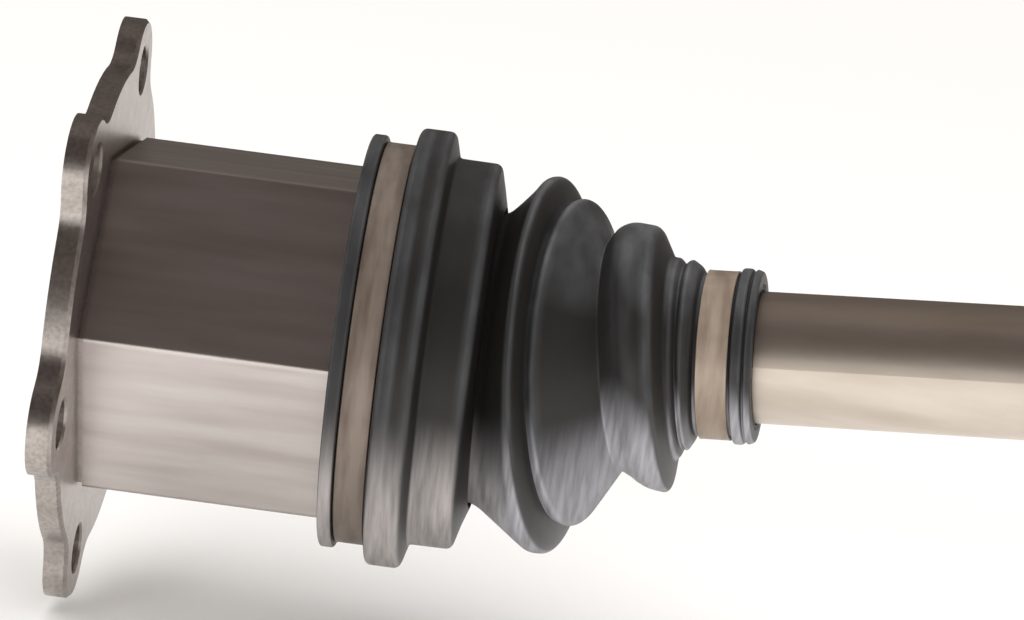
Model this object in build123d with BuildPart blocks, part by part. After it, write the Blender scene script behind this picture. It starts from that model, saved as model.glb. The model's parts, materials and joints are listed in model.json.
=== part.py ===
from math import atan2, cos, degrees, pi, radians, sin, sqrt
import os

from build123d import *

# Drive shaft, inner end: a flanged tripod joint in a hexagonal housing, its rubber boot and the bar.
# Millimetres. +X runs along the housing from the flange's mounting face, +Z is up.

# Housing, outside
across_flats = 71.0
flange_thickness = 5.2
root_groove_width = 1.1
root_groove_depth = 1.0
barrel_end_x = 57.2
skirt_radius = 40.0
mouth_x = 74.5
mouth_chamfer = 0.6
barrel_edge_radius = 1.5

# Flange with six bolt lobes and a shallow recess that centres it
bolt_count = 6
bolt_circle_radius = 52.5
bolt_hole_radius = 5.25
bolt_hole_chamfer = 0.5
lobe_start_angle = 18.0
lobe_radius = 11.0
flange_disc_radius = 53.2
lobe_blend_radius = 9.0
flange_edge_chamfer = 0.8
pilot_radius = 37.5
pilot_depth = 2.0

# Rest position of the joint: where the spider sits, and how the bar is bent
centre_x = 38.0
rest_yaw = 7.5
rest_pitch = 5.5

# Rollers and the tracks that they run in
track_count = 3
track_angle = 180.0
roller_circle_radius = 20.5
roller_radius = 13.0
roller_width = 10.0
track_clearance = 1.4
land_radius = 20.5
track_end_x = 58.0
flare_start_x = 46.0
flare_end_radius = 26.5
skirt_wall = 5.0

# Trunnions, needles and what holds each roller on
running_clearance = 0.05
trunnion_radius = 7.0
trunnion_shoulder_radius = 7.8
needle_radius = 1.4
needle_count = 18
needle_length = 9.0
washer_thickness = 1.0
washer_outer_radius = 11.2
clip_thickness = 1.2
clip_height = 2.6
clip_groove_depth = 0.7
clip_gap = 4.0
trunnion_end_land = 0.9

# Spider hub, and the end of the bar that sits in it
hub_radius = 15.0
hub_width = 16.0
hub_bore_radius = 10.5
hub_clip_groove_depth = 1.1
dome_radius = 14.7

# End cap, its seal, the thrust spring and its cup
cap_seat_radius = 36.5
cap_thickness = 1.4
cap_boss_radius = 9.4
cap_boss_height = 1.5
seal_thickness = 1.2
seal_width = 1.5
cup_seat_gap = 0.3
cup_seat_radius = 5.5
cup_rim_width = 0.7
cup_flange_radius = 7.5
cup_flange_setback = 1.2
cup_thickness = 1.5
cup_nose_radius = 4.6
cup_nose_length = 2.0
spring_wire_radius = 0.9
spring_turns = 3.0
spring_wide_radius = 11.0
spring_narrow_radius = 6.0

# Snap ring in the mouth that keeps the rollers in
mouth_ring_x = 69.2
mouth_ring_width = 2.0
mouth_ring_height = 2.2
mouth_ring_depth = 1.0
mouth_ring_gap = 13.0

# Bar, measured along its own axis from the joint's centre
neck_radius = 11.0
neck_end = 84.0
bar_radius = 14.0
bar_cone_length = 10.0
bar_body_end = 250.0
spline_taper_length = 6.0
spline_length = 34.0
spline_root_radius = 11.4
spline_tooth_height = 1.3
spline_tooth_root = 1.9
spline_tooth_tip = 1.0
spline_teeth = 26
end_clip_from_end = 5.0
end_groove_depth = 0.4

# Boot, measured along its bent centreline from the flange's mounting face
boot_wall = 2.8
boot_start = 57.5
lip_height = 2.15
lip_width = 2.9
large_seat_start = 60.8
large_seat_width = 6.4
ridge_height = 4.75
ridge_width = 6.9
ridge_step = 0.6
collar_step = 1.2
collar_drop = 0.85
collar_end = 85.7
boot_folds = [(89.5, 31.6), (101.0, 40.6), (103.4, 40.6), (105.6, 34.5), (108.7, 35.3), (115.5, 26.0),
              (122.5, 29.0), (127.0, 29.5), (129.8, 20.8), (133.0, 20.0)]
small_seat_start = 134.8
small_seat_width = 7.6
small_lip_height = 1.6
boot_end = 147.0
boot_bar_gap = 0.3

# The boot's centreline crosses from the housing's axis to the bar's, and its rings lean with it
drift_start = 92.0
drift_end = 129.0
ring_lean = 0.6
tangent_step = 0.5

# Clamps
large_band_thickness = 0.9
small_band_thickness = 0.8
band_side_gap = 0.35
band_fit = 0.05
ear_height = 3.6
ear_length = 9.0
ear_corner_radius = 1.2
small_band_gap = 0.1
large_ear_angle = 0.0
small_ear_angle = 180.0

# Directions at rest: the bar's axis and the first trunnion, which points to the viewer's side
yaw, pitch = radians(rest_yaw), radians(rest_pitch)
joint_centre = Vector(centre_x, 0, 0)
bar_axis = Vector(cos(pitch) * cos(yaw), -cos(pitch) * sin(yaw), sin(pitch))
first_trunnion = Vector(-sin(yaw), -cos(yaw), 0)
bar_plane = Plane(joint_centre, x_dir=first_trunnion, z_dir=bar_axis)
bar_profile = Plane(joint_centre, x_dir=bar_axis, z_dir=bar_axis.cross(first_trunnion))

# Sizes that several pieces share
barrel_start_x = flange_thickness + root_groove_width
barrel_corner_radius = across_flats / 2 / cos(pi / 6)
track_radius = roller_radius + track_clearance
needle_circle = trunnion_radius + running_clearance + needle_radius
roller_bore = needle_circle + needle_radius + running_clearance
roller_inner = roller_circle_radius - roller_width / 2
roller_outer = roller_circle_radius + roller_width / 2
washer_start = roller_outer + 2 * running_clearance
clip_start = washer_start + washer_thickness + running_clearance
trunnion_end = clip_start + clip_thickness + running_clearance + trunnion_end_land
hub_clip_start = hub_width / 2 + running_clearance
cap_inner_x = pilot_depth + cap_thickness
cap_seat_x = cap_inner_x + seal_thickness
roller_face_radius = sqrt(roller_radius ** 2 - (roller_width / 2) ** 2)
stub_radius = hub_bore_radius - running_clearance
cup_sphere_radius = dome_radius + cup_seat_gap
cup_bottom_x = centre_x - cup_sphere_radius
cup_rim_x = centre_x - sqrt(cup_sphere_radius ** 2 - cup_seat_radius ** 2)
cup_flange_x = cup_rim_x - cup_flange_setback
cup_back_x = cup_flange_x - cup_thickness
skirt_bore_radius = skirt_radius - skirt_wall
ring_groove_radius = skirt_bore_radius + mouth_ring_depth
large_seat_radius = skirt_radius + running_clearance + boot_wall
lip_radius = large_seat_radius + lip_height
ridge_radius = large_seat_radius + ridge_height
collar_radius = large_seat_radius - collar_drop
small_seat_radius = bar_radius + boot_bar_gap + boot_wall
large_seat_end = large_seat_start + large_seat_width
small_seat_end = small_seat_start + small_seat_width
spline_start = bar_body_end + spline_taper_length
bar_end = spline_start + spline_length
end_groove_radius = spline_root_radius - end_groove_depth
collar_start = large_seat_end + 2 * ridge_step + ridge_width + collar_step

os.makedirs("parts", exist_ok=True)


def write_part(part, name):
    part.label = name
    export_step(part, f"parts/{name}.step")


def trunnion_direction(number):
    return first_trunnion.rotate(Axis((0, 0, 0), bar_axis), 360 / track_count * number)


def trunnion_plane(number, distance):
    """Plane across a trunnion, at a distance from the joint's centre, facing outwards."""
    outward = trunnion_direction(number)
    return Plane(joint_centre, x_dir=bar_axis, z_dir=outward).offset(distance)


def flat_ring(plane, outer_radius, inner_radius, thickness):
    with BuildPart() as ring:
        with BuildSketch(plane):
            Circle(outer_radius)
            Circle(inner_radius, mode=Mode.SUBTRACT)
        extrude(amount=thickness)
    return ring.part


def snap_ring(plane, outer_radius, inner_radius, thickness, gap):
    """Open retaining ring: a flat ring with a slot on one side."""
    with BuildPart() as ring:
        with BuildSketch(plane):
            Circle(outer_radius)
            Circle(inner_radius, mode=Mode.SUBTRACT)
            with Locations((outer_radius / 2, 0)):
                Rectangle(outer_radius, gap, mode=Mode.SUBTRACT)
        extrude(amount=thickness)
    return ring.part


def band_clamp(plane, inner_radius, thickness, width, ear_angle):
    """Crimped strap: a thin band with one raised ear."""
    outer_radius = inner_radius + thickness
    with BuildPart() as band:
        with BuildSketch(plane):
            Circle(outer_radius)
            with PolarLocations(outer_radius + ear_height / 2 - thickness / 2, 1, start_angle=ear_angle):
                RectangleRounded(ear_height + thickness, ear_length, ear_corner_radius)
            Circle(inner_radius, mode=Mode.SUBTRACT)
        extrude(amount=width)
    return band.part


# Joint housing: flange, hexagonal barrel and round skirt, hollowed by three roller tracks
with BuildPart() as joint_housing:
    with BuildSketch(Plane.YZ) as flange_outline:
        Circle(flange_disc_radius)
        with PolarLocations(bolt_circle_radius, bolt_count, start_angle=lobe_start_angle):
            Circle(lobe_radius)
        fillet(flange_outline.vertices(), radius=lobe_blend_radius)
    extrude(amount=flange_thickness)
    chamfer(joint_housing.edges().group_by(Axis.X)[-1], length=flange_edge_chamfer)
    # A shallow groove runs round the root of the barrel
    with BuildSketch(Plane.YZ.offset(flange_thickness)):
        RegularPolygon(barrel_corner_radius - root_groove_depth, 6)
    extrude(amount=root_groove_width)
    with BuildSketch(Plane.YZ.offset(barrel_start_x)):
        RegularPolygon(barrel_corner_radius, 6)
    extrude(amount=barrel_end_x - barrel_start_x)
    long_edges = joint_housing.edges().filter_by(Axis.X)
    fillet(long_edges.filter_by(lambda edge: edge.length > flange_thickness), radius=barrel_edge_radius)
    with BuildSketch(Plane.YZ.offset(barrel_end_x)):
        Circle(skirt_radius)
    extrude(amount=mouth_x - barrel_end_x)
    chamfer(joint_housing.edges().group_by(Axis.X)[-1], length=mouth_chamfer)
    # The tracks lie under every other corner of the hexagon
    with BuildSketch(Plane.YZ):
        Circle(land_radius)
        for number in range(track_count):
            with PolarLocations(roller_circle_radius / 2, 1, start_angle=track_angle + 360 / track_count * number):
                SlotCenterToCenter(roller_circle_radius, 2 * track_radius)
    extrude(amount=track_end_x, mode=Mode.SUBTRACT)
    # Flared mouth, counterbored skirt and the groove of the mouth ring
    ring_groove_end = mouth_ring_x + mouth_ring_width + 2 * running_clearance
    with BuildSketch(Plane.XZ):
        with BuildLine():
            Polyline(
                (flare_start_x, 0), (flare_start_x, land_radius), (track_end_x, flare_end_radius),
                (track_end_x, skirt_bore_radius), (mouth_ring_x, skirt_bore_radius),
                (mouth_ring_x, ring_groove_radius), (ring_groove_end, ring_groove_radius),
                (ring_groove_end, skirt_bore_radius), (mouth_x, skirt_bore_radius), (mouth_x, 0), close=True)
        make_face()
    revolve(axis=Axis.X, mode=Mode.SUBTRACT)
    # Recess that centres the flange, seat of the cap, and the bolt holes
    with BuildSketch(Plane.YZ):
        Circle(pilot_radius)
    extrude(amount=pilot_depth, mode=Mode.SUBTRACT)
    with BuildSketch(Plane.YZ):
        Circle(cap_seat_radius)
    extrude(amount=cap_seat_x, mode=Mode.SUBTRACT)
    with BuildSketch(Plane.YZ):
        with PolarLocations(bolt_circle_radius, bolt_count, start_angle=lobe_start_angle):
            Circle(bolt_hole_radius)
    extrude(amount=flange_thickness, mode=Mode.SUBTRACT)
    hole_edges = joint_housing.edges().filter_by(GeomType.CIRCLE).filter_by(
        lambda edge: abs(edge.radius - bolt_hole_radius) < running_clearance)
    chamfer(hole_edges.group_by(Axis.X)[-1], length=bolt_hole_chamfer)
write_part(joint_housing.part, "joint_housing")

# End cap: a pressed disc with a boss that centres the spring
with BuildPart() as end_cap:
    with BuildSketch(Plane.XZ):
        with BuildLine():
            Polyline(
                (pilot_depth, cap_seat_radius - running_clearance), (pilot_depth, cap_boss_radius),
                (pilot_depth + cap_boss_height, cap_boss_radius - cap_thickness),
                (pilot_depth + cap_boss_height, 0), (cap_inner_x + cap_boss_height, 0),
                (cap_inner_x + cap_boss_height, cap_boss_radius - cap_thickness / 2),
                (cap_inner_x, cap_boss_radius), (cap_inner_x, cap_seat_radius - running_clearance),
                close=True)
        make_face()
    revolve(axis=Axis.X)
write_part(end_cap.part, "end_cap")

seal_outer = cap_seat_radius - running_clearance
cap_seal = flat_ring(Plane.YZ.offset(cap_inner_x), seal_outer, seal_outer - seal_width, seal_thickness)
write_part(cap_seal, "cap_seal")

# Mouth ring: a flat snap ring, open on the far side
mouth_ring = snap_ring(Plane.YZ.offset(mouth_ring_x + running_clearance), ring_groove_radius - running_clearance,
                       ring_groove_radius - running_clearance - mouth_ring_height, mouth_ring_width,
                       mouth_ring_gap)
write_part(mouth_ring, "mouth_ring")

# Thrust spring: conical, wide end on the cap and narrow end on the cup
spring_start_x = cap_inner_x + spring_wire_radius + running_clearance
spring_height = cup_back_x - spring_wire_radius - running_clearance - spring_start_x
with BuildPart() as thrust_spring:
    with BuildLine() as coil:
        Helix(spring_height / spring_turns, spring_height, spring_wide_radius, center=(spring_start_x, 0, 0),
              direction=(1, 0, 0),
              cone_angle=degrees(atan2(spring_narrow_radius - spring_wide_radius, spring_height)))
    with BuildSketch(Plane(coil.line @ 0, z_dir=coil.line % 0)):
        Circle(spring_wire_radius)
    sweep(path=coil.line, is_frenet=True)
write_part(thrust_spring.part, "thrust_spring")

# Spring cup: its hollow seat bears on the domed end of the bar, and it slides with the bar
with BuildPart() as spring_cup:
    with BuildSketch(Plane.XZ):
        with BuildLine():
            seat = RadiusArc((cup_rim_x, cup_seat_radius), (cup_bottom_x, 0), -cup_sphere_radius)
            Polyline(
                seat @ 0, (cup_rim_x, cup_seat_radius + cup_rim_width),
                (cup_flange_x, cup_seat_radius + cup_rim_width), (cup_flange_x, cup_flange_radius),
                (cup_back_x, cup_flange_radius), (cup_back_x, cup_nose_radius),
                (cup_back_x - cup_nose_length, cup_nose_radius), (cup_back_x - cup_nose_length, 0), seat @ 1)
        make_face()
    revolve(axis=Axis.X)
write_part(spring_cup.part, "spring_cup")

# Spider: a bored hub with three trunnions, each grooved for its clip
with BuildPart() as spider:
    with BuildSketch(bar_plane.offset(-hub_width / 2)):
        Circle(hub_radius)
        Circle(hub_bore_radius, mode=Mode.SUBTRACT)
    extrude(amount=hub_width)
    for number in range(track_count):
        with BuildSketch(trunnion_plane(number, hub_bore_radius)):
            Circle(trunnion_shoulder_radius)
        extrude(amount=roller_inner - 2 * running_clearance - hub_bore_radius)
        with BuildSketch(trunnion_plane(number, hub_bore_radius)):
            Circle(trunnion_radius)
        extrude(amount=trunnion_end - hub_bore_radius)
        with BuildSketch(trunnion_plane(number, clip_start - running_clearance)):
            Circle(trunnion_radius)
            Circle(trunnion_radius - clip_groove_depth, mode=Mode.SUBTRACT)
        extrude(amount=clip_thickness + 2 * running_clearance, mode=Mode.SUBTRACT)
write_part(spider.part, "spider")

# Rollers with their needles, washers and clips
for number in range(track_count):
    outward = trunnion_direction(number)
    roller_profile = Plane(joint_centre, x_dir=bar_axis, z_dir=bar_axis.cross(outward))
    with BuildPart() as roller:
        with BuildSketch(roller_profile):
            with BuildLine():
                tread = ThreePointArc((roller_face_radius, roller_inner), (roller_radius, roller_circle_radius),
                                      (roller_face_radius, roller_outer))
                Polyline(tread @ 1, (roller_bore, roller_outer), (roller_bore, roller_inner), tread @ 0)
            make_face()
        revolve(axis=Axis(joint_centre, outward))
    write_part(roller.part, f"roller_{number + 1}")
    with BuildPart() as needles:
        with BuildSketch(trunnion_plane(number, roller_circle_radius - needle_length / 2)):
            with PolarLocations(needle_circle, needle_count):
                Circle(needle_radius)
        extrude(amount=needle_length)
    write_part(needles.part, f"needles_{number + 1}")
    washer = flat_ring(trunnion_plane(number, washer_start), washer_outer_radius,
                       trunnion_radius + running_clearance, washer_thickness)
    write_part(washer, f"roller_washer_{number + 1}")
    groove_radius = trunnion_radius - clip_groove_depth + running_clearance
    clip = snap_ring(trunnion_plane(number, clip_start), groove_radius + clip_height, groove_radius,
                     clip_thickness, clip_gap)
    write_part(clip, f"roller_clip_{number + 1}")

# Clip that holds the spider against the shoulder of the bar
hub_groove_radius = stub_radius - hub_clip_groove_depth
spider_clip = snap_ring(bar_plane.offset(-hub_clip_start - clip_thickness),
                        hub_groove_radius + running_clearance + clip_height,
                        hub_groove_radius + running_clearance, clip_thickness, clip_gap)
write_part(spider_clip, "spider_clip")

# Bar: domed stub, neck, full-size body and a splined outer end
with BuildPart() as axle_bar:
    with BuildSketch(bar_profile):
        with BuildLine():
            hub_groove_end = hub_clip_start + clip_thickness + running_clearance
            dome_edge = -sqrt(dome_radius ** 2 - stub_radius ** 2)
            dome = RadiusArc((-dome_radius, 0), (dome_edge, stub_radius), dome_radius)
            Polyline(
                dome @ 1, (-hub_groove_end, stub_radius), (-hub_groove_end, hub_groove_radius),
                (-hub_width / 2, hub_groove_radius), (-hub_width / 2, stub_radius),
                (hub_width / 2, stub_radius), (hub_width / 2, neck_radius), (neck_end, neck_radius),
                (neck_end + bar_cone_length, bar_radius), (bar_body_end, bar_radius),
                (spline_start, spline_root_radius), (bar_end, spline_root_radius), (bar_end, 0), dome @ 0)
        make_face()
    revolve(axis=Axis(joint_centre, bar_axis))
    with BuildSketch(bar_plane.offset(spline_start)):
        with PolarLocations(spline_root_radius, spline_teeth):
            Polygon((-spline_tooth_height, -spline_tooth_root / 2), (0, -spline_tooth_root / 2),
                    (spline_tooth_height, -spline_tooth_tip / 2), (spline_tooth_height, spline_tooth_tip / 2),
                    (0, spline_tooth_root / 2), (-spline_tooth_height, spline_tooth_root / 2), align=None)
    extrude(amount=spline_length)
    with BuildSketch(bar_plane.offset(bar_end - end_clip_from_end)):
        Circle(bar_radius)
        Circle(end_groove_radius, mode=Mode.SUBTRACT)
    extrude(amount=clip_thickness + 2 * running_clearance, mode=Mode.SUBTRACT)
write_part(axle_bar.part, "axle_bar")

end_clip = snap_ring(bar_plane.offset(bar_end - end_clip_from_end + running_clearance),
                     end_groove_radius + running_clearance + clip_height,
                     end_groove_radius + running_clearance, clip_thickness, clip_gap)
write_part(end_clip, "end_clip")


def smooth_share(distance, start, end):
    """0 before start, 1 after end, and an even curve between them."""
    share = min(max((distance - start) / (end - start), 0), 1)
    return share * share * (3 - 2 * share)


def boot_middle(distance):
    """Point on the boot's centreline."""
    on_housing = Vector(distance, 0, 0)
    on_bar = joint_centre + bar_axis * (distance - centre_x)
    return on_housing + (on_bar - on_housing) * smooth_share(distance, drift_start, drift_end)


def boot_ring_plane(distance):
    """Plane of a ring of the boot, between square to the two axes and square to the centreline."""
    housing_axis = Vector(1, 0, 0)
    square = housing_axis + (bar_axis - housing_axis) * smooth_share(distance, drift_start, drift_end)
    tangent = (boot_middle(distance + tangent_step) - boot_middle(distance - tangent_step)).normalized()
    facing = square + (tangent - square) * ring_lean
    return Plane(boot_middle(distance), x_dir=(0, 1, 0), z_dir=facing)


# Boot: convoluted bellows, hollow all the way, lofted through rings along the bend
outer_rings = [
    (boot_start, lip_radius), (boot_start + lip_width, lip_radius), (large_seat_start, large_seat_radius),
    (large_seat_end, large_seat_radius), (large_seat_end + ridge_step, ridge_radius),
    (large_seat_end + ridge_step + ridge_width, ridge_radius), (collar_start, collar_radius),
    (collar_end, collar_radius)] + boot_folds + [
    (small_seat_start, small_seat_radius), (small_seat_end, small_seat_radius),
    (small_seat_end + ridge_step, small_seat_radius + small_lip_height),
    (boot_end, small_seat_radius + small_lip_height / 2)]
bore_large = skirt_radius + running_clearance
bore_small = bar_radius + boot_bar_gap
inner_rings = [(boot_start, bore_large), (mouth_x + running_clearance, bore_large),
               (collar_end, collar_radius - boot_wall)]
inner_rings += [(distance, radius - boot_wall) for distance, radius in boot_folds]
inner_rings += [(small_seat_start, bore_small), (boot_end, bore_small)]
with BuildPart() as boot:
    for rings, mode in ((outer_rings, Mode.ADD), (inner_rings, Mode.SUBTRACT)):
        for distance, radius in rings:
            with BuildSketch(boot_ring_plane(distance)):
                Circle(radius)
        loft(ruled=True, mode=mode)
write_part(boot.part, "boot")

# Clamps: the large one on the boot over the housing's skirt, the small one over the bar
large_clamp = band_clamp(Plane.YZ.offset(large_seat_start + band_side_gap), large_seat_radius + band_fit,
                         large_band_thickness, large_seat_width - 2 * band_side_gap, large_ear_angle)
write_part(large_clamp, "large_clamp")
small_clamp = band_clamp(bar_plane.offset(small_seat_start + band_side_gap - centre_x),
                         small_seat_radius + small_band_gap, small_band_thickness,
                         small_seat_width - 2 * band_side_gap, small_ear_angle)
write_part(small_clamp, "small_clamp")
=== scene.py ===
import json
from math import cos, pi, radians, sin

import bpy
import bmesh
from mathutils import Matrix, Vector


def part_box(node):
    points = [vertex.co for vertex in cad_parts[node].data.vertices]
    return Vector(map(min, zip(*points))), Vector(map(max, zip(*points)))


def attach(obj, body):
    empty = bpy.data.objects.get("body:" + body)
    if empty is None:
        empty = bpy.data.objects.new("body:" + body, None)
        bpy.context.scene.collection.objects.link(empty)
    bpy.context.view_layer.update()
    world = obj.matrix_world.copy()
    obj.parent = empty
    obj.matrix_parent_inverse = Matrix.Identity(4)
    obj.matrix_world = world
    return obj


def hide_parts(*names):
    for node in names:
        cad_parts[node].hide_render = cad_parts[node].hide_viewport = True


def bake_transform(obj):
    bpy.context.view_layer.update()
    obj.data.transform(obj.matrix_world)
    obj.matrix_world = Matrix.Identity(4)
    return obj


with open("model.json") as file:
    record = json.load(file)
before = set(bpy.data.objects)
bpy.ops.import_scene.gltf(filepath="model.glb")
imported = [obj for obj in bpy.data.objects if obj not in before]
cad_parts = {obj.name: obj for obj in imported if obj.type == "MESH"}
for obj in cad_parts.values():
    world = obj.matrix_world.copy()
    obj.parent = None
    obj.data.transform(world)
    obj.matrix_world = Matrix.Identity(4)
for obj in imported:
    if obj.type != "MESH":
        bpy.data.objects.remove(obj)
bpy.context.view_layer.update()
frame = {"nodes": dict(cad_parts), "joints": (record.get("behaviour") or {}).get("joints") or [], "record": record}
nodes = frame["nodes"]
mm = 0.001
print("frame loaded,", len(nodes), "nodes")

# How the joint lies at rest, read from the frame: its centre, the first trunnion and the bar's axis
hinge = next(j for j in frame["joints"] if j["name"] == "rise_bend")
jointCentre = Vector(hinge["pos_m"])
firstTrunnion = Vector(hinge["axis"])
barMount = next(m for m in frame["record"]["mounts"] if m["name"] == "outer_spline")
barAxis = Vector(barMount["axis"]).normalized()
housingAxis = Vector((1, 0, 0))


def smoothShare(value, start, end):
    share = min(max((value - start) / (end - start), 0), 1)
    return share * share * (3 - 2 * share)


def linearColour(hexCode):  # sRGB hex to the linear values that the shaders take
    channels = [int(hexCode[i:i + 2], 16) / 255 for i in (1, 3, 5)]
    return [c / 12.92 if c <= 0.04045 else ((c + 0.055) / 1.055) ** 2.4 for c in channels] + [1]


# Camera

cameraLook = {
    "target": (0.09184, 0, 0.01119),
    "distance": 0.7348,
    "azimuth": 1.59,      # degrees round the part, 0 looks along +Y
    "elevation": 9.36,
    "roll": 7.31,         # the photo is tilted: the housing's axis runs down to the right
    "lens": 119.6,
    "sensor": 36,
    "clipStart": 0.05, "clipEnd": 60,
}


def placeCamera(look):
    azimuth, elevation, roll = (radians(look[k]) for k in ("azimuth", "elevation", "roll"))
    back = Vector((sin(azimuth) * cos(elevation), -cos(azimuth) * cos(elevation), sin(elevation)))
    level = Vector((cos(azimuth), sin(azimuth), 0))
    upright = back.cross(level)
    right = level * cos(roll) + upright * sin(roll)
    up = upright * cos(roll) - level * sin(roll)
    camera = bpy.data.objects.new("camera", bpy.data.cameras.new("camera"))
    bpy.context.scene.collection.objects.link(camera)
    turn = Matrix((right, up, back)).transposed().to_4x4()
    camera.matrix_world = Matrix.Translation(Vector(look["target"]) + back * look["distance"]) @ turn
    camera.data.lens = look["lens"]
    camera.data.sensor_width = look["sensor"]
    camera.data.clip_start = look["clipStart"]
    camera.data.clip_end = look["clipEnd"]
    bpy.context.scene.camera = camera


placeCamera(cameraLook)
print("camera placed")


# Shader helpers


def addNode(tree, kind, settings=None, links=None):  # links: socket name or number to a value or a socket
    node = tree.nodes.new(kind)
    for key, value in (settings or {}).items():
        setattr(node, key, value)
    for key, value in (links or {}).items():
        if isinstance(value, bpy.types.NodeSocket):
            tree.links.new(value, node.inputs[key])
        else:
            node.inputs[key].default_value = value
    return node


def newMaterial(name):
    material = bpy.data.materials.new(name)
    material.use_nodes = True
    material.node_tree.nodes.clear()
    return material, material.node_tree


def closeMaterial(tree, sockets):  # principled shader and output
    shader = addNode(tree, "ShaderNodeBsdfPrincipled", links=sockets)
    addNode(tree, "ShaderNodeOutputMaterial", links={"Surface": shader.outputs["BSDF"]})


def mathNode(tree, operation, values, clamp=False):
    settings = {"operation": operation, "use_clamp": clamp}
    return addNode(tree, "ShaderNodeMath", settings, dict(enumerate(values))).outputs[0]


def rangeNode(tree, value, source, result=(0, 1), smooth=False):  # source and result: from and to
    settings = {"interpolation_type": "SMOOTHSTEP" if smooth else "LINEAR"}
    links = dict(enumerate((value,) + tuple(source) + tuple(result)))
    return addNode(tree, "ShaderNodeMapRange", settings, links).outputs[0]


def rampNode(tree, source, stops):  # stops: place and hex colour or grey value
    ramp = addNode(tree, "ShaderNodeValToRGB", links={"Fac": source})
    elements = ramp.color_ramp.elements
    while len(elements) < len(stops):
        elements.new(0.5)
    for element, (place, value) in zip(elements, stops):
        element.position = place
        element.color = linearColour(value) if isinstance(value, str) else [value, value, value, 1]
    return ramp.outputs["Color"]


def mixColour(tree, share, one, two):
    return addNode(tree, "ShaderNodeMix", {"data_type": "RGBA"}, {0: share, 6: one, 7: two}).outputs[2]


def bumpNode(tree, height, strength, depthMm):
    links = {"Height": height, "Strength": strength, "Distance": depthMm * mm}
    return addNode(tree, "ShaderNodeBump", links=links).outputs["Normal"]


def patternAt(tree, coordinates, sizeMm, detail=3, stretch=(1, 1, 1)):
    # noise whose lumps are sizeMm across, drawn out by stretch
    links = {"Vector": coordinates, "Scale": [1 / s for s in stretch]}
    place = addNode(tree, "ShaderNodeMapping", links=links).outputs["Vector"]
    links = {"Vector": place, "Scale": 1 / (sizeMm * mm), "Detail": detail}
    return addNode(tree, "ShaderNodeTexNoise", links=links).outputs["Fac"]


def objectPlace(tree):
    return addNode(tree, "ShaderNodeTexCoord").outputs["Object"]


def axisOf(tree, vector, axis):
    return addNode(tree, "ShaderNodeSeparateXYZ", links={0: vector}).outputs[axis]


# Materials; pattern sizes, and places along the housing's axis, are in mm

forgedLook = {
    "steel": "#cfc7c3", "dark": "#c2bab5", "pale": "#dad4d0",
    "cloudSize": 5, "cloudDraw": (9, 1, 1), "cloudStops": (0.3, 0.5, 0.75),
    "streakSize": 0.35, "streakDraw": (60, 1, 1), "grainSize": 0.5,
    # the flange and the barrel's root are darker, in speckles: none from the start distance on, full up to the
    # full one
    "rootDark": "#8b847d", "rootDarkStart": 7, "rootDarkFull": 4.6,
    "speckleSize": 0.9, "speckle": [(0.3, 0.35), (0.7, 0.75)],
    "roughness": 0.26, "roughSwing": 0.16, "bump": 0.05, "bumpDepth": 0.2,
}


def forgedSteel(look):
    # forged and machined steel, lightly oiled: dull satin, streaked along the barrel
    material, tree = newMaterial("forgedMachinedSteel")
    at = objectPlace(tree)
    cloud = patternAt(tree, at, look["cloudSize"], 4, look["cloudDraw"])
    streak = patternAt(tree, at, look["streakSize"], 2, look["streakDraw"])
    grain = patternAt(tree, at, look["grainSize"], 2)
    speckle = patternAt(tree, at, look["speckleSize"], 4)
    colour = rampNode(tree, cloud, list(zip(look["cloudStops"], (look["dark"], look["steel"], look["pale"]))))
    # darker speckles near the flange face, fading out along the barrel
    near = rangeNode(tree, axisOf(tree, at, "X"), (look["rootDarkStart"] * mm, look["rootDarkFull"] * mm))
    film = mathNode(tree, "MULTIPLY", (near, rampNode(tree, speckle, look["speckle"])))
    height = mathNode(tree, "ADD", (streak, grain))
    closeMaterial(tree, {
        "Base Color": mixColour(tree, film, colour, linearColour(look["rootDark"])), "Metallic": 1.0,
        "Roughness": mathNode(tree, "MULTIPLY_ADD", (streak, look["roughSwing"], look["roughness"])),
        "Normal": bumpNode(tree, height, look["bump"], look["bumpDepth"])})
    return material


turnedLook = {
    "steel": "#ded4c9", "dark": "#cbbfb2", "cloudSize": 7, "cloudDraw": (6, 1, 1), "cloudStops": (0.3, 0.7),
    "latheMark": 0.5, "markDraw": (1, 40, 40), "roughness": 0.42, "bump": 0.05, "bumpDepth": 0.1,
}


def turnedSteel(look):
    # turned bar steel: fine rings across the bar, warm grey
    material, tree = newMaterial("turnedBarSteel")
    at = objectPlace(tree)
    cloud = patternAt(tree, at, look["cloudSize"], 4, look["cloudDraw"])
    mark = patternAt(tree, at, look["latheMark"], 2, look["markDraw"])
    closeMaterial(tree, {
        "Base Color": rampNode(tree, cloud, list(zip(look["cloudStops"], (look["dark"], look["steel"])))),
        "Metallic": 1.0, "Roughness": look["roughness"],
        "Normal": bumpNode(tree, mark, look["bump"], look["bumpDepth"])})
    return material


smallBandLook = {
    "steel": "#a69788", "stain": "#857466", "stainSize": 3, "stainDraw": (1, 7, 7), "stainStops": (0.3, 0.62),
    "filmSize": 2.5, "bareShare": 0.35, "bareSwing": 0.3,    # how much of the metal shows through the dust
    "rollMark": 0.25, "markDraw": (1, 50, 50), "roughness": 0.45, "bump": 0.05, "bumpDepth": 0.1,
}
largeBandLook = dict(smallBandLook, steel="#85796f", stain="#63564d")


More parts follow.
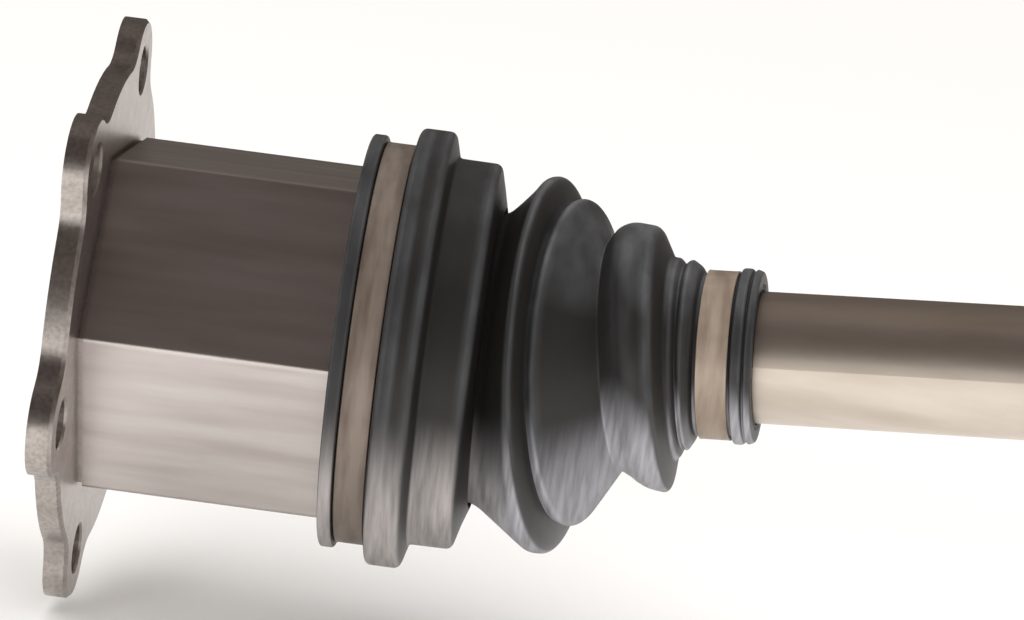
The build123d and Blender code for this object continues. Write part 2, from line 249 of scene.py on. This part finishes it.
def bandSteel(name, look):
    # rolled stainless strip under a thin film of dust: beige, half matt, with brown stains
    material, tree = newMaterial(name)
    at = objectPlace(tree)
    stain = patternAt(tree, at, look["stainSize"], 3, look["stainDraw"])
    film = patternAt(tree, at, look["filmSize"], 3)
    mark = patternAt(tree, at, look["rollMark"], 2, look["markDraw"])
    closeMaterial(tree, {
        "Base Color": rampNode(tree, stain, list(zip(look["stainStops"], (look["stain"], look["steel"])))),
        "Metallic": mathNode(tree, "MULTIPLY_ADD", (film, look["bareSwing"], look["bareShare"])),
        "Roughness": look["roughness"], "Normal": bumpNode(tree, mark, look["bump"], look["bumpDepth"])})
    return material


rubberLook = {
    "rubber": "#1a1918", "grainSize": 0.35, "streakSize": 1.1, "streakDraw": (1, 14, 14),
    # dust and painted sky light lie on what faces up, from topStart to topFull as its normal's Z, and a painted
    # highlight on the crests
    "dustAndSheen": "#7f8084", "topStart": 0.45, "topFull": 0.95, "topDustAndSheen": (0.02, 0.65), "crestHighlight": 0.28,
    "patchSize": 5, "patchDraw": (1, 2.5, 2.5), "patchStops": [(0.3, 0.15), (0.75, 0.62)],
    # a painted reflection of the bright floor lies on what faces down; from foldStart to foldFull it turns greyer
    # and tops get more dust and painted sky light
    "floorGlare": "#b3aca7", "foldFloorGlare": "#b3b2b8", "foldStart": 86, "foldFull": 98, "beforeFolds": 0.2,
    "glareStart": -0.12, "glareFull": -0.68, "glareShare": 0.9, "glareStops": [(0.3, 0.55), (0.65, 1.0)],
    "roughness": 0.46, "glareRough": 0.25, "IOR": 1.52, "specular": 0.35, "bump": 0.1, "bumpDepth": 0.1,
}


def bootRubber(look):
    # moulded chloroprene rubber: dark and half matt; grey dust and painted sky light on the tops, a painted
    # highlight on the crests, a pale painted reflection of the floor underneath
    material, tree = newMaterial("mouldedBootRubber")
    coordinates = addNode(tree, "ShaderNodeTexCoord").outputs
    at = coordinates["Object"]
    facing = axisOf(tree, coordinates["Normal"], "Z")
    crest = addNode(tree, "ShaderNodeAttribute", {"attribute_name": "crest"}).outputs["Fac"]
    streak = patternAt(tree, at, look["streakSize"], 3, look["streakDraw"])
    patch = patternAt(tree, at, look["patchSize"], 4, look["patchDraw"])
    grain = patternAt(tree, at, look["grainSize"], 3)
    onFolds = rangeNode(tree, axisOf(tree, at, "X"), (look["foldStart"] * mm, look["foldFull"] * mm),
                        (look["beforeFolds"], 1))
    # dust and painted sky light on what faces up
    onTop = rangeNode(tree, facing, (look["topStart"], look["topFull"]), look["topDustAndSheen"])
    onTop = mathNode(tree, "MULTIPLY", (onTop, onFolds))
    # painted highlight on the crests, added to the dust and sky light on top
    sheenAndDust = mathNode(tree, "MULTIPLY_ADD", (crest, look["crestHighlight"], onTop))
    dustAndSheen = mathNode(tree, "MULTIPLY", (sheenAndDust, rampNode(tree, patch, look["patchStops"])), True)
    # painted reflection of the bright floor on what faces down, in streaks
    under = rangeNode(tree, facing, (look["glareStart"], look["glareFull"]), (0, look["glareShare"]), True)
    floorGlare = mathNode(tree, "MULTIPLY", (under, rampNode(tree, streak, look["glareStops"])), True)
    dustAndSheenColour = mixColour(tree, dustAndSheen, linearColour(look["rubber"]), linearColour(look["dustAndSheen"]))
    pale = mixColour(tree, onFolds, linearColour(look["floorGlare"]), linearColour(look["foldFloorGlare"]))
    height = mathNode(tree, "ADD", (grain, streak))
    closeMaterial(tree, {
        "Base Color": mixColour(tree, floorGlare, dustAndSheenColour, pale),
        "Roughness": mathNode(tree, "MULTIPLY_ADD", (floorGlare, look["glareRough"], look["roughness"])),
        "IOR": look["IOR"], "Specular IOR Level": look["specular"],
        "Normal": bumpNode(tree, height, look["bump"], look["bumpDepth"])})
    return material


metalLook = {"cloudPerGrain": 6, "cloudStops": (0.35, 0.65), "bump": 0.08, "bumpDepth": 0.1}
pressedLook = dict(metalLook, steel="#b4b2a6", dark="#98968a", roughness=0.35, grain=1.5)
bearingLook = dict(metalLook, steel="#c4c4c6", dark="#b6b6b9", roughness=0.18, grain=0.4)
springLook = dict(metalLook, steel="#4c4d55", dark="#3c3d46", roughness=0.3, grain=0.8)


def innerMetal(name, look):  # small inner parts: a fine grain, and clouds of the darker colour
    material, tree = newMaterial(name)
    at = objectPlace(tree)
    grain = patternAt(tree, at, look["grain"], 3)
    cloud = patternAt(tree, at, look["cloudPerGrain"] * look["grain"], 4)
    closeMaterial(tree, {
        "Base Color": rampNode(tree, cloud, list(zip(look["cloudStops"], (look["dark"], look["steel"])))),
        "Metallic": 1.0, "Roughness": look["roughness"],
        "Normal": bumpNode(tree, grain, look["bump"], look["bumpDepth"])})
    return material


forgedMaterial = forgedSteel(forgedLook)
barMaterial = turnedSteel(turnedLook)
largeBandMaterial = bandSteel("rolledBandSteelStained", largeBandLook)
smallBandMaterial = bandSteel("rolledBandSteel", smallBandLook)
rubberMaterial = bootRubber(rubberLook)
pressedMaterial = innerMetal("zincPlatedPressing", pressedLook)      # dull, faintly green and yellow
bearingMaterial = innerMetal("groundBearingSteel", bearingLook)      # bright and smooth
springMaterial = innerMetal("bluedSpringSteel", springLook)          # dark blue-grey
print("materials made")

nodeMaterials = {
    "joint_housing": forgedMaterial, "axle_bar": barMaterial, "end_cap": pressedMaterial,
    "spring_cup": pressedMaterial, "spider": bearingMaterial, "cap_seal": rubberMaterial,
    "thrust_spring": springMaterial, "mouth_ring": springMaterial, "spider_clip": springMaterial,
    "end_clip": springMaterial,
}
for number in (1, 2, 3):
    nodeMaterials[f"roller_{number}"] = bearingMaterial
    nodeMaterials[f"needles_{number}"] = bearingMaterial
    nodeMaterials[f"roller_washer_{number}"] = pressedMaterial
    nodeMaterials[f"roller_clip_{number}"] = springMaterial
for name, material in nodeMaterials.items():
    nodes[name].data.materials.clear()
    nodes[name].data.materials.append(material)


# Mesh helpers


def newPiece(name, bm, material, body=None):
    mesh = bpy.data.meshes.new(name)
    bm.to_mesh(mesh)
    bm.free()
    mesh.materials.append(material)
    for polygon in mesh.polygons:
        polygon.use_smooth = True
    piece = bpy.data.objects.new(name, mesh)
    bpy.context.scene.collection.objects.link(piece)
    if body:
        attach(piece, body)
    return piece


def skinRings(bm, rings, closed):
    # joins each ring to the next; closed joins the last to the first, otherwise both ends get a face
    for one, two in zip(rings, rings[1:] + (rings[:1] if closed else [])):
        for k in range(len(one)):
            nxt = (k + 1) % len(one)
            bm.faces.new((one[k], one[nxt], two[nxt], two[k]))
    if not closed:
        bm.faces.new(rings[0])
        bm.faces.new(rings[-1])
    bmesh.ops.recalc_face_normals(bm, faces=bm.faces)


# Boot, in four pieces: the collar rides the housing; each of the others stands for one motion, but is built fixed
# at rest

bootLook = {
    "driftStart": 97, "driftEnd": 125,    # where its centreline goes from the housing's axis to the bar's
    "sag": 1.6, "sagStart": 117, "sagFull": 127, "sagEnd": 134.6,    # the last fold hangs a little
    # how far its rings lean to the viewer's side and up, in degrees, at distances along the centreline
    "lean": [(87, 0, 0), (102, 11.3, 6.9), (109, 15.8, 7.8), (118.4, 6, 12.2), (127, 6.5, 10.5),
             (134.6, 7.5, 5.5)],
    "segments": 192,
    # how finely the outline is cut, in mm; a corner's rounding takes at most roundShare of a side
    "cornerSteps": 6, "longestStep": 1.2, "shortestStep": 0.02, "roundShare": 0.49,
    "wall": 2.0, "bore": 14.35,    # how thick the skin is, and the least radius inside
    "crestGain": 6,                # how strongly a turn of the outline counts as a crest
    # distance along the centreline, radius and how far each corner is rounded, in mm
    "collar": [
        (57.5, 40.1, 0), (57.5, 45, 0.6), (60.4, 45, 0.6), (60.6, 42.85, 0.3), (67.3, 42.85, 0.3),
        (67.7, 47.6, 1.3), (70.5, 47.6, 0), (70.5, 40.1, 0)],
    "shoulder": [
        (70.5, 47.6, 0), (74.9, 47.6, 1.3), (76.4, 42.1, 0.8), (85.6, 42, 1.4), (87.2, 36, 1.5),
        (88.1, 32.8, 0), (86.6, 32.8, 0), (84.0, 39.4, 0), (75.4, 39.4, 0), (74.6, 40.1, 0), (70.5, 40.1, 0)],
    "fold": [
        (80, 31.0, 0), (86, 31.0, 1.0), (89.3, 31.8, 2.0), (100.2, 40.7, 1.2), (102.9, 40.8, 1.0),
        (105.8, 34.4, 0)],
    "neck": [
        (105.8, 34.4, 0), (108.3, 35.6, 1.4), (116.4, 24.6, 0.4), (119.2, 27.2, 0.9), (121.8, 28.4, 1.6),
        (126.9, 28.4, 1.4), (129.0, 21.6, 0.8), (130.2, 21.2, 0.5), (131.1, 19.5, 0.4), (132.2, 20.4, 0.6),
        (133.9, 18.6, 0.5), (134.6, 17.15, 0.3), (142.4, 17.15, 0.3), (142.6, 18.7, 0.6), (144.6, 18.7, 0.5),
        (145.1, 17.8, 0.3), (145.6, 18.6, 0.4), (147, 18.1, 0.5), (147, 14.35, 0)],
    # a span for each motion: from, to, and the distance of the ring that the ends face as
    "plunge": (70.5, 87, 70.5), "side": (85.5, 103.4, 100), "rise": (106, 121, 112),
}


def bootMiddle(distance):
    look = bootLook
    drift = smoothShare(distance, look["driftStart"], look["driftEnd"])
    onHousing = Vector((distance * mm, 0, 0))
    onBar = jointCentre + barAxis * (distance * mm - jointCentre.x)
    sag = smoothShare(distance, look["sagStart"], look["sagFull"]) \
        * (1 - smoothShare(distance, look["sagFull"], look["sagEnd"]))
    return onHousing.lerp(onBar, drift) - Vector((0, 0, look["sag"] * mm * sag))


def leanAt(distance):
    table = bootLook["lean"]
    if distance <= table[0][0]:
        return table[0][1:]
    for (d1, yaw1, pitch1), (d2, yaw2, pitch2) in zip(table, table[1:]):
        if distance < d2:
            t = (distance - d1) / (d2 - d1)
            return yaw1 + (yaw2 - yaw1) * t, pitch1 + (pitch2 - pitch1) * t
    return table[-1][1:]


def ringFrame(distance):  # middle and directions of one ring, at a distance in mm from the flange's face
    yaw, pitch = (radians(a) for a in leanAt(distance))
    facing = Vector((cos(pitch) * cos(yaw), -cos(pitch) * sin(yaw), sin(pitch)))
    across = (Vector((0, 1, 0)) - facing * facing.y).normalized()
    return bootMiddle(distance), across, facing.cross(across)


def roundedLine(corners):  # a line through the corners, each one rounded
    steps, most = bootLook["cornerSteps"], bootLook["roundShare"]
    points = []
    for i, (d, r, reach) in enumerate(corners):
        here = Vector((d, r))
        if i in (0, len(corners) - 1) or reach == 0:
            points.append(here)
            continue
        before, after = Vector(corners[i - 1][:2]), Vector(corners[i + 1][:2])
        start = here + (before - here).normalized() * min(reach, (before - here).length * most)
        end = here + (after - here).normalized() * min(reach, (after - here).length * most)
        for k in range(steps + 1):
            t = k / steps
            points.append(start * (1 - t) ** 2 + here * 2 * t * (1 - t) + end * t ** 2)
    line = [points[0]]
    for point in points[1:]:
        gap = (point - line[-1]).length
        if gap < bootLook["shortestStep"]:
            continue
        parts = max(1, round(gap / bootLook["longestStep"]))
        last = line[-1].copy()
        line += [last.lerp(point, (k + 1) / parts) for k in range(parts)]
    return line


def walledLine(corners):  # the outside line, and back along the inside
    outer = roundedLine(corners)
    inner = [Vector((p.x, max(p.y - bootLook["wall"], bootLook["bore"]))) for p in reversed(outer)]
    return outer + inner


def bootPiece(name, line):  # the closed line is swept round the bent centreline; its cut ends are sharp
    bm = bmesh.new()
    crest = bm.verts.layers.float.new("crest")
    segments = bootLook["segments"]
    rings = []
    for i, point in enumerate(line):
        before, after = line[i - 1], line[(i + 1) % len(line)]
        turn = (point - before).angle_signed(after - point, 0)
        middle, across, over = ringFrame(point.x)
        ring = []
        for k in range(segments):
            angle = 2 * pi * k / segments
            vert = bm.verts.new(middle + (across * cos(angle) + over * sin(angle)) * point.y * mm)
            vert[crest] = max(0, min(1, turn * bootLook["crestGain"]))
            ring.append(vert)
        rings.append(ring)
    skinRings(bm, rings, True)
    cuts = (min(point.x for point in line), max(point.x for point in line))
    for ring, point in zip(rings, line):
        if point.x in cuts:
            for k, vert in enumerate(ring):
                bm.edges.get((vert, ring[k - 1])).smooth = False
    return newPiece(name, bm, rubberMaterial)


def bendBoot(piece):
    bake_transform(piece)


collarPart = bootPiece("boot_collar", roundedLine(bootLook["collar"]))
shoulderPart = bootPiece("boot_shoulder", roundedLine(bootLook["shoulder"]))
foldPart = bootPiece("boot_fold", walledLine(bootLook["fold"]))
neckPart = bootPiece("boot_neck", walledLine(bootLook["neck"]))
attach(collarPart, "housing")
bendBoot(shoulderPart)
bendBoot(foldPart)
bendBoot(neckPart)
for piece in (collarPart, shoulderPart, foldPart, neckPart):
    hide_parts("boot")
print("boot made")


# Thrust spring: a cone of three turns; the real one closes up as the cup slides in, this mesh is built at rest

coilLook = {"wire": 0.9, "wide": 11.0, "narrow": 6.0, "turns": 3, "steps": 40, "around": 12}


def coilPiece(look):
    low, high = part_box("thrust_spring")
    first, last = low[0] + look["wire"] * mm, high[0] - look["wire"] * mm
    bm = bmesh.new()
    rings = []
    count = look["turns"] * look["steps"]
    for i in range(count + 1):
        share = i / count
        angle = 2 * pi * look["turns"] * share
        out = Vector((0, cos(angle), sin(angle)))
        radius = (look["wide"] + (look["narrow"] - look["wide"]) * share) * mm
        middle = out * radius + housingAxis * (first + (last - first) * share)
        rings.append([bm.verts.new(middle + (out * cos(a) + housingAxis * sin(a)) * look["wire"] * mm)
                      for a in (2 * pi * k / look["around"] for k in range(look["around"]))])
    skinRings(bm, rings, False)
    coil = newPiece("thrust_spring_coil", bm, springMaterial)
    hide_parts("thrust_spring")
    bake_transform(coil)


coilPiece(coilLook)
print("spring made")


# Clamps: crimped straps, each with a pinched ear and a lap where the strap's end lies on it

clampLook = {"rimWidth": 0.8, "rimHeight": 0.06,    # the strap's edges stand a little above its middle
             "sharpAngle": 40,                      # edges that turn by more than this shade hard
             "lapInset": 1.1, "lapThickness": 0.45, "lapGap": 5.2, "lapSink": 0.05}
largeClampLook = dict(clampLook, start=60.75, end=67.15, radius=42.9, thickness=0.8, edge=0.15, ear=1.0,
                      earAngle=0, lapAngle=46, segments=220, material=largeBandMaterial)
smallClampLook = dict(clampLook, start=135.35, end=141.9, radius=17.25, thickness=0.75, edge=0.12, ear=0.85,
                      earAngle=180, lapAngle=42, segments=130, material=smallBandMaterial)
# the ear's outline for an ear of size 1: along the strap and off it, in mm
earLine = [(-4.6, 0), (-3.7, 0.25), (-3.15, 1.0), (-3.3, 2.0), (-3.0, 2.9), (-2.0, 3.3), (-0.9, 3.0),
           (0, 2.6), (0.9, 3.0), (2.0, 3.3), (3.0, 2.9), (3.3, 2.0), (3.15, 1.0), (3.7, 0.25), (4.6, 0)]


def strapPiece(name, look, frameAt, angles, heights, body, closed):
    # a strap along the angles, with a rounded cross-section; heights lift it off its radius
    half = (look["end"] - look["start"]) / 2
    mid = (look["end"] + look["start"]) / 2
    thick, edge = look["thickness"], look["edge"]
    inside, low = half - look["rimWidth"], thick - look["rimHeight"]
    section = [(-half + edge, 0), (half - edge, 0), (half, edge), (half, thick - edge), (half - edge, thick),
               (inside, low), (-inside, low), (-half + edge, thick), (-half, thick - edge), (-half, edge)]
    path = [Vector((cos(a), sin(a))) * (look["radius"] + h) for a, h in zip(angles, heights)]
    origin, side, over, facing = frameAt
    bm = bmesh.new()
    rings = []
    for i, point in enumerate(path):
        before = path[i - 1] if closed or i else point
        after = path[(i + 1) % len(path)] if closed or i + 1 < len(path) else point
        along = (after - before).normalized()
        out = Vector((along.y, -along.x))
        rings.append([bm.verts.new(origin + facing * (mid + s) * mm + side * (point.x + out.x * t) * mm
                                   + over * (point.y + out.y * t) * mm) for s, t in section])
    skinRings(bm, rings, closed)
    piece = newPiece(name, bm, look["material"], body)
    piece.modifiers.new("split", "EDGE_SPLIT").split_angle = radians(look["sharpAngle"])
    return piece


def clampPieces(name, look, frameAt, body):
    ear = [(s * look["ear"] / look["radius"], h * look["ear"]) for s, h in earLine]
    start = radians(look["earAngle"])
    earEnd, count = ear[-1][0], look["segments"]
    plain = [(earEnd + (2 * pi - 2 * earEnd) * k / count, 0) for k in range(1, count)]
    outline = ear + plain
    band = strapPiece(name + "_band", look, frameAt, [start + a for a, h in outline], [h for a, h in outline],
                      body, True)
    inset, count = look["lapInset"], count // 4
    tail = dict(look, start=look["start"] + inset, end=look["end"] - inset, thickness=look["lapThickness"])
    first = start + look["lapGap"] * look["ear"] / look["radius"]
    angles = [first + radians(look["lapAngle"]) * k / count for k in range(count)]
    heights = [look["thickness"] - look["lapSink"]] * count
    lap = strapPiece(name + "_lap", tail, frameAt, angles, heights, body, False)
    for piece in (band, lap):
        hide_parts(name)


onHousing = (Vector(), Vector((0, 1, 0)), Vector((0, 0, 1)), housingAxis)
onBar = (jointCentre - barAxis * jointCentre.x, firstTrunnion, barAxis.cross(firstTrunnion), barAxis)
clampPieces("large_clamp", largeClampLook, onHousing, "housing")
clampPieces("small_clamp", smallClampLook, onBar, "bar")
print("clamps made")


# Floor, world and lights

studio = {
    "floor": "#f4f3f1", "floorRough": 0.9, "floorSpecular": 0.1, "floorZ": -0.0655, "floorSize": 12,
    # what steel mirrors from above, from the viewer's side over the top to the far side: dim, paler overhead
    "sky": [(0.15, "#5c5551"), (0.32, "#676060"), (0.5, "#8d8580"), (0.75, "#7a736e"), (1.0, "#6a6460")],
    "skyStrength": 1.0,
    # even soft light from above, for a floor without an edge
    "sunPlace": (0, 0, 3), "sunAim": (0, 0.2, 0), "sun": 3.0, "sunSpread": 110,
    # a wide, low strip on the viewer's side, which fills what faces the viewer
    "fillPlace": (0.05, -1.1, 0.35), "fillAim": (0.08, -0.05, -0.06), "fill": 10, "fillSize": (1.4, 0.3),
}


def buildFloor(look):
    bm = bmesh.new()
    half = look["floorSize"] / 2
    bm.faces.new([bm.verts.new((x * half, y * half, look["floorZ"]))
                  for x, y in ((-1, -1), (1, -1), (1, 1), (-1, 1))])
    material, tree = newMaterial("studioFloor")    # matt and nearly white
    closeMaterial(tree, {"Base Color": linearColour(look["floor"]), "Roughness": look["floorRough"],
                         "Specular IOR Level": look["floorSpecular"]})
    floor = newPiece("floor", bm, material)


def buildWorld(look):
    world = bpy.data.worlds.new("studio")
    world.use_nodes = True
    tree = world.node_tree
    direction = addNode(tree, "ShaderNodeTexCoord").outputs["Generated"]
    across = rangeNode(tree, axisOf(tree, direction, "Y"), (-1, 1))
    background = tree.nodes["Background"]
    background.inputs["Strength"].default_value = look["skyStrength"]
    tree.links.new(rampNode(tree, across, look["sky"]), background.inputs["Color"])
    bpy.context.scene.world = world


def addLight(name, kind, place, aim, **settings):  # no light is mirrored: steel shows the sky and the floor
    data = bpy.data.lights.new(name, kind)
    for key, value in settings.items():
        setattr(data, key, value)
    light = bpy.data.objects.new(name, data)
    bpy.context.scene.collection.objects.link(light)
    light.location = place
    light.rotation_euler = (Vector(aim) - Vector(place)).to_track_quat("-Z", "Y").to_euler()
    light.visible_glossy = False


buildFloor(studio)
buildWorld(studio)
addLight("softSun", "SUN", studio["sunPlace"], studio["sunAim"], energy=studio["sun"],
         angle=radians(studio["sunSpread"]))
addLight("lowFill", "AREA", studio["fillPlace"], studio["fillAim"], energy=studio["fill"], shape="RECTANGLE",
         size=studio["fillSize"][0], size_y=studio["fillSize"][1])
bpy.context.scene.view_settings.view_transform = "Standard"
print("studio made")
